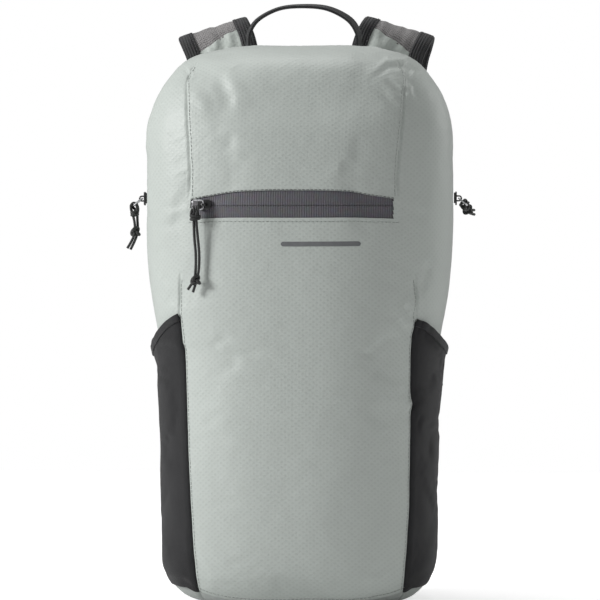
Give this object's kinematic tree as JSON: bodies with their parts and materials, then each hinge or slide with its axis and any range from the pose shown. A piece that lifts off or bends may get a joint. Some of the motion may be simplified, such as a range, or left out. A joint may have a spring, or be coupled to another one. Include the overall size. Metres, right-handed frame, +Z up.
{
  "type": "daypack",
  "caption": "Soft ripstop daypack with zipped front pocket, stretch side pockets, horseshoe main zip, haul loop and padded shoulder straps with webbing adjusters.",
  "frame": {"origin": "centre of the flat base face", "axes": "+Z up, +X to the right seen from the front, the front face looks along -Y"},
  "size_m": [0.2838, 0.1941, 0.4865],
  "materials": {
    "ripstop": "satin",
    "ripstop_base": "satin",
    "lining": "matt",
    "zip_tape": "matt",
    "zip_coil": "satin",
    "stretch_cloth": "matt",
    "elastic": "matt",
    "print_grey": "satin",
    "webbing": "matt",
    "slider_black": "gloss",
    "bail_metal": "polished",
    "pull_cord": "matt",
    "foam": "matt",
    "spacer_mesh": "matt",
    "binding": "matt",
    "buckle": "satin"
  },
  "bodies": {
    "pack": {"base_panel": "ripstop_base", "front_panel_lower": "ripstop", "front_panel_upper": "ripstop", "side_panel_left": "ripstop", "side_panel_right": "ripstop", "rear_gusset_left": "ripstop", "rear_gusset_right": "ripstop", "top_rear_panel": "ripstop", "back_panel": "ripstop_base", "front_pocket_lining": "lining", "pocket_zip_tape_upper": "zip_tape", "pocket_zip_tape_lower": "zip_tape", "pocket_zip_coil": "zip_coil", "main_zip_tape_front": "zip_tape", "main_zip_tape_rear": "zip_tape", "main_zip_coil": "zip_coil", "side_pocket_left": "stretch_cloth", "side_pocket_right": "stretch_cloth", "pocket_elastic_left": "elastic", "pocket_elastic_right": "elastic", "print_bar": "print_grey", "haul_loop_tabs": "webbing", "lower_webbing_left": "webbing", "webbing_anchor_left": "webbing", "lower_webbing_right": "webbing", "webbing_anchor_right": "webbing"},
    "haul_loop": {"haul_loop": "webbing"},
    "pocket_slider": {"pocket_slider": "slider_black"},
    "pocket_bail": {"pocket_bail": "bail_metal"},
    "pocket_pull": {"pocket_pull_cord_a": "pull_cord", "pocket_pull_cord_b": "pull_cord", "pocket_pull_knot": "pull_cord"},
    "main_slider_left": {"main_slider_left": "slider_black"},
    "main_bail_left": {"main_bail_left": "bail_metal"},
    "main_pull_left": {"main_pull_cord_left_a": "pull_cord", "main_pull_cord_left_b": "pull_cord", "main_pull_knot_left": "pull_cord"},
    "main_slider_right": {"main_slider_right": "slider_black"},
    "main_bail_right": {"main_bail_right": "bail_metal"},
    "main_pull_right": {"main_pull_cord_right_a": "pull_cord", "main_pull_cord_right_b": "pull_cord", "main_pull_knot_right": "pull_cord"},
    "shoulder_strap_left": {"strap_foam_left": "foam", "strap_face_left": "ripstop", "strap_mesh_left": "spacer_mesh", "strap_binding_left": "binding", "strap_end_loop_left": "webbing"},
    "ladderlock_left": {"ladderlock_left": "buckle", "webbing_tail_left": "webbing"},
    "shoulder_strap_right": {"strap_foam_right": "foam", "strap_face_right": "ripstop", "strap_mesh_right": "spacer_mesh", "strap_binding_right": "binding", "strap_end_loop_right": "webbing"},
    "ladderlock_right": {"ladderlock_right": "buckle", "webbing_tail_right": "webbing"}
  },
  "joints": [
    {"name": "haul_loop_fold", "type": "hinge", "parent": "pack", "child": "haul_loop", "pos_m": [0, 0.0495, 0.452], "axis": [1, 0, 0], "range_deg": [-15, 35]},
    {"name": "pocket_zip_travel", "type": "hinge", "parent": "pack", "child": "pocket_slider", "pos_m": [0, 0.1871, 0.32], "axis": [0, 0, 1], "range_deg": [0, 30.5]},
    {"name": "pocket_bail_swing", "type": "hinge", "parent": "pocket_slider", "child": "pocket_bail", "pos_m": [-0.07122, -0.07189, 0.32], "axis": [0, 0, 1], "range_deg": [-25, 60]},
    {"name": "pocket_pull_swing", "type": "hinge", "parent": "pocket_bail", "child": "pocket_pull", "pos_m": [-0.07706, -0.07397, 0.3165], "axis": [-0.9419, -0.3358, 0], "range_deg": [0, 75]},
    {"name": "main_zip_travel_left", "type": "slide", "parent": "pack", "child": "main_slider_left", "axis": [0, 0, 1], "range_m": [0, 0.06]},
    {"name": "main_bail_swing_left", "type": "hinge", "parent": "main_slider_left", "child": "main_bail_left", "pos_m": [-0.1291, 0.008, 0.326], "axis": [0, -1, 0], "range_deg": [-80, 5]},
    {"name": "main_zip_travel_right", "type": "slide", "parent": "pack", "child": "main_slider_right", "axis": [0, 0, 1], "range_m": [0, 0.06]},
    {"name": "main_bail_swing_right", "type": "hinge", "parent": "main_slider_right", "child": "main_bail_right", "pos_m": [0.1291, 0.008, 0.326], "axis": [0, 1, 0], "range_deg": [-80, 5]},
    {"name": "main_pull_swing_left", "type": "hinge", "parent": "main_bail_left", "child": "main_pull_left", "pos_m": [-0.1356, 0.008, 0.3205], "axis": [0, 1, 0], "range_deg": [0, 75]},
    {"name": "main_pull_swing_right", "type": "hinge", "parent": "main_bail_right", "child": "main_pull_right", "pos_m": [0.13385, 0.0115, 0.322], "axis": [0.7659, 0, -0.6429], "range_deg": [-25, 90]},
    {"name": "shoulder_strap_swing_left", "type": "hinge", "parent": "pack", "child": "shoulder_strap_left", "pos_m": [-0.066, 0.06, 0.436], "axis": [1, 0, 0], "range_deg": [0, 15], "deforming": ["lower_webbing_left"]},
    {"name": "ladderlock_tilt_left", "type": "hinge", "parent": "shoulder_strap_left", "child": "ladderlock_left", "pos_m": [-0.084, 0.092, 0.152], "axis": [1, 0, 0], "range_deg": [0, 35], "deforming": ["lower_webbing_left"]},
    {"name": "shoulder_strap_swing_right", "type": "hinge", "parent": "pack", "child": "shoulder_strap_right", "pos_m": [0.066, 0.06, 0.436], "axis": [1, 0, 0], "range_deg": [0, 15], "deforming": ["lower_webbing_right"]},
    {"name": "ladderlock_tilt_right", "type": "hinge", "parent": "shoulder_strap_right", "child": "ladderlock_right", "pos_m": [0.084, 0.092, 0.152], "axis": [1, 0, 0], "range_deg": [0, 35], "deforming": ["lower_webbing_right"]}
  ]
}
